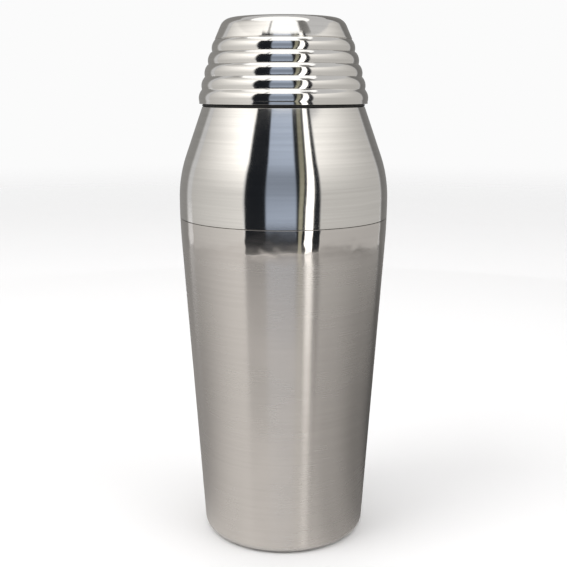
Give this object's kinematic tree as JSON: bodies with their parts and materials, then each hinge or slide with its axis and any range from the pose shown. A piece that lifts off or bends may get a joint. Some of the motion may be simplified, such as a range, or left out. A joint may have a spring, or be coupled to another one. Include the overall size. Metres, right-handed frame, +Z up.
{
  "type": "cocktail shaker",
  "caption": "Stainless steel cobbler shaker: tapered satin tumbler, polished shoulder with a built-in strainer, and a ribbed conical cap.",
  "frame": {"origin": "centre of the standing ring, on the surface the shaker stands on", "axes": "+Z up along the axis of every turned piece; +X and +Y are equal, because the shaker is round"},
  "size_m": [0.09, 0.09, 0.226],
  "materials": {
    "satin_steel": "satin, brushed round the axis",
    "polished_steel": "polished, with fine turning lines",
    "inner_steel": "plain rolled sheet",
    "black_rubber": "matt"
  },
  "bodies": {
    "cup": {"tumbler": "satin_steel"},
    "top": {"shoulder": "polished_steel", "spigot_sleeve": "inner_steel", "neck_collar": "polished_steel", "neck_seal": "black_rubber", "strainer": "polished_steel"},
    "cap": {"cap_shell": "polished_steel", "cap_sleeve": "inner_steel"}
  },
  "joints": [
    {"name": "top_lift", "type": "slide", "parent": "cup", "child": "top", "axis": [0, 0, 1], "range_m": [0, 0.06]},
    {"name": "cap_lift", "type": "slide", "parent": "top", "child": "cap", "axis": [0, 0, 1], "range_m": [0, 0.05]}
  ]
}
